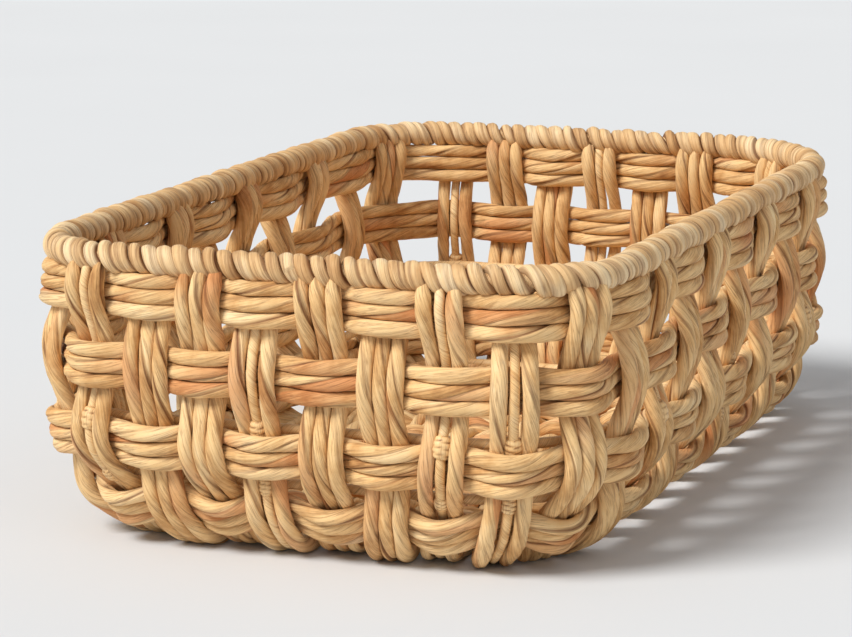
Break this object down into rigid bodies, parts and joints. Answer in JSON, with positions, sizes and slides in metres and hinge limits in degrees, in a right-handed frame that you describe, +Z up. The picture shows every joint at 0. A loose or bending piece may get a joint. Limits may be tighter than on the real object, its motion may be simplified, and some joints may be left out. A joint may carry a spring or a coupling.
{
  "type": "woven storage basket",
  "caption": "Open-top rectangular basket with rounded corners, woven from thick plant-fibre cord on a wrapped wire frame, for holding household things.",
  "frame": {"origin": "middle of the plane the basket stands on", "axes": "+Z up out of the opening, +Y along the basket's length, +X across its width"},
  "size_m": [0.3386, 0.567, 0.1685],
  "materials": {
    "hyacinth_cord": "dry twisted leaf fibre, low sheen",
    "rim_cord": "dry twisted leaf fibre wound round the rim",
    "leaf_strip_wrap": "smooth flat leaf strip wound tight",
    "steel_wire": "plain wire, hidden inside its wrapping"
  },
  "bodies": {
    "root": {"base_ring_wire": "steel_wire", "base_ring_wrap": "leaf_strip_wrap", "corner_stakes_back_left": "hyacinth_cord", "corner_stakes_back_right": "hyacinth_cord", "corner_stakes_front_left": "hyacinth_cord", "corner_stakes_front_right": "hyacinth_cord", "front_back_strand_01_cords": "hyacinth_cord", "front_back_strand_01_rib_wire": "steel_wire", "front_back_strand_01_rib_wrap": "leaf_strip_wrap", "front_back_strand_02_cords": "hyacinth_cord", "front_back_strand_03_cords": "hyacinth_cord", "front_back_strand_04_cords": "hyacinth_cord", "front_back_strand_04_rib_wire": "steel_wire", "front_back_strand_04_rib_wrap": "leaf_strip_wrap", "front_back_strand_05_cords": "hyacinth_cord", "front_back_strand_06_cords": "hyacinth_cord", "front_back_strand_07_cords": "hyacinth_cord", "front_back_strand_07_rib_wire": "steel_wire", "front_back_strand_07_rib_wrap": "leaf_strip_wrap", "front_back_strand_08_cords": "hyacinth_cord", "front_back_strand_08_rib_wire": "steel_wire", "front_back_strand_08_rib_wrap": "leaf_strip_wrap", "left_right_strand_00_cords": "hyacinth_cord", "left_right_strand_01_cords": "hyacinth_cord", "left_right_strand_01_rib_wire": "steel_wire", "left_right_strand_01_rib_wrap": "leaf_strip_wrap", "left_right_strand_02_cords": "hyacinth_cord", "left_right_strand_03_cords": "hyacinth_cord", "left_right_strand_04_cords": "hyacinth_cord", "left_right_strand_04_rib_wire": "steel_wire", "left_right_strand_04_rib_wrap": "leaf_strip_wrap", "left_right_strand_05_cords": "hyacinth_cord", "left_right_strand_06_cords": "hyacinth_cord", "left_right_strand_07_cords": "hyacinth_cord", "left_right_strand_07_rib_wire": "steel_wire", "left_right_strand_07_rib_wrap": "leaf_strip_wrap", "left_right_strand_08_cords": "hyacinth_cord", "lower_hoop_lashings": "leaf_strip_wrap", "lower_hoop_wire": "steel_wire", "lower_hoop_wrap": "leaf_strip_wrap", "rim_wire": "steel_wire", "rim_wrap": "rim_cord", "upper_hoop_lashings": "leaf_strip_wrap", "upper_hoop_wire": "steel_wire", "upper_hoop_wrap": "leaf_strip_wrap", "wall_band_1_cords": "hyacinth_cord", "wall_band_2_cords": "hyacinth_cord", "wall_band_3_cords": "hyacinth_cord", "wall_band_4_cords": "hyacinth_cord"}
  },
  "joints": []
}
